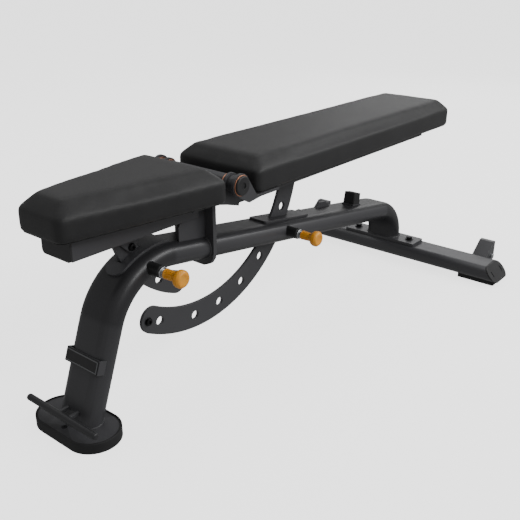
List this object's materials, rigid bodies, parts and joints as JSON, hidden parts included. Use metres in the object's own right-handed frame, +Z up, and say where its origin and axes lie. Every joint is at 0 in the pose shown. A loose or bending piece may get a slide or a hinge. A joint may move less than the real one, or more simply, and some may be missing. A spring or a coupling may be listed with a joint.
{
  "type": "adjustable weight bench",
  "caption": "Adjustable weight bench: tapered seat and long back pad on one pivot, hole arcs with pull pins, bent oval spine, wide rear foot with transport wheels.",
  "frame": {"origin": "centre of the bench's footprint at floor level", "axes": "+X from the seat to the head end, +Z up, XZ is the symmetry plane; the pull knobs are on the -Y side"},
  "size_m": [1.3426, 0.762, 0.4761],
  "materials": {
    "frame_paint": "charcoal powder coat with a fine metallic fleck",
    "upholstery": "black grained vinyl-coated fabric over firm foam",
    "board": "plain plywood",
    "rubber_black": "moulded, matt",
    "plastic_black": "moulded, fine texture",
    "knob_orange": "moulded, smooth",
    "bronze": "sintered bronze",
    "steel_bright": "turned, zinc plated",
    "fastener_dark": "black oxide"
  },
  "bodies": {
    "base": {"spine_tube": "frame_paint", "front_slot_plate": "frame_paint", "rear_slot_plate": "frame_paint", "side_lug": "frame_paint", "mast_plate": "frame_paint", "mast_gusset": "frame_paint", "pivot_tube": "frame_paint", "pivot_shaft": "steel_bright", "front_foot_plate": "frame_paint", "front_foot_boot": "rubber_black", "front_foot_screws": "fastener_dark", "handle_bar": "frame_paint", "handle_tabs": "frame_paint", "badge_holder": "frame_paint", "badge_plate": "plastic_black", "crossbar": "frame_paint", "crossbar_caps": "plastic_black", "rear_base_plate": "frame_paint", "base_bolts": "fastener_dark", "base_nuts": "fastener_dark", "rear_foot_pads": "rubber_black", "rear_foot_screws": "fastener_dark", "wheel_forks": "frame_paint", "wheel_axles": "steel_bright", "bumper_base": "frame_paint", "bumper_block": "rubber_black", "front_pin_housing": "plastic_black", "front_pin_sleeve": "steel_bright", "front_pin_spring": "steel_bright", "rear_pin_housing": "plastic_black", "rear_pin_sleeve": "steel_bright", "rear_pin_spring": "steel_bright"},
    "seat": {"seat_pad": "upholstery", "seat_board": "board", "seat_channel": "frame_paint", "seat_nose_cap": "plastic_black", "seat_hinge_brackets": "frame_paint", "seat_hinge_tubes": "frame_paint", "pivot_bushings": "bronze", "seat_pad_screws": "fastener_dark", "seat_arc": "frame_paint", "seat_arc_clevis": "frame_paint", "seat_arc_bolts": "fastener_dark"},
    "backrest": {"back_pad": "upholstery", "back_board": "board", "back_tray": "frame_paint", "back_hinge_brackets": "frame_paint", "pivot_caps": "plastic_black", "back_pad_screws": "fastener_dark", "back_arc": "frame_paint", "back_arc_clevis": "frame_paint", "back_arc_bolts": "fastener_dark", "arc_stop_bolt": "fastener_dark"},
    "front_pin": {"front_pin_plunger": "steel_bright", "front_pin_knob": "knob_orange"},
    "rear_pin": {"rear_pin_plunger": "steel_bright", "rear_pin_knob": "knob_orange"},
    "wheel_left": {"wheel_left": "plastic_black"},
    "wheel_right": {"wheel_right": "plastic_black"}
  },
  "joints": [
    {"name": "seat_tilt", "type": "hinge", "parent": "base", "child": "seat", "pos_m": [-0.25781, 0, 0.431], "axis": [0, 1, 0], "range_deg": [0, 22]},
    {"name": "back_tilt", "type": "hinge", "parent": "base", "child": "backrest", "pos_m": [-0.25781, 0, 0.431], "axis": [0, -1, 0], "range_deg": [-9.79, 75]},
    {"name": "front_pin_pull", "type": "slide", "parent": "base", "child": "front_pin", "axis": [0, -1, 0], "range_m": [-0.0057, 0.004], "stiffness_N_per_m": 900, "springref_m": -0.03, "deforming": ["front_pin_spring"]},
    {"name": "rear_pin_pull", "type": "slide", "parent": "base", "child": "rear_pin", "axis": [0, -1, 0], "range_m": [-0.0057, 0.004], "stiffness_N_per_m": 900, "springref_m": -0.03, "deforming": ["rear_pin_spring"]},
    {"name": "wheel_left_spin", "type": "hinge", "parent": "base", "child": "wheel_left", "pos_m": [0.63139, -0.289, 0.039], "axis": [0, 1, 0], "continuous": true},
    {"name": "wheel_right_spin", "type": "hinge", "parent": "base", "child": "wheel_right", "pos_m": [0.63139, 0.289, 0.039], "axis": [0, 1, 0], "continuous": true}
  ]
}
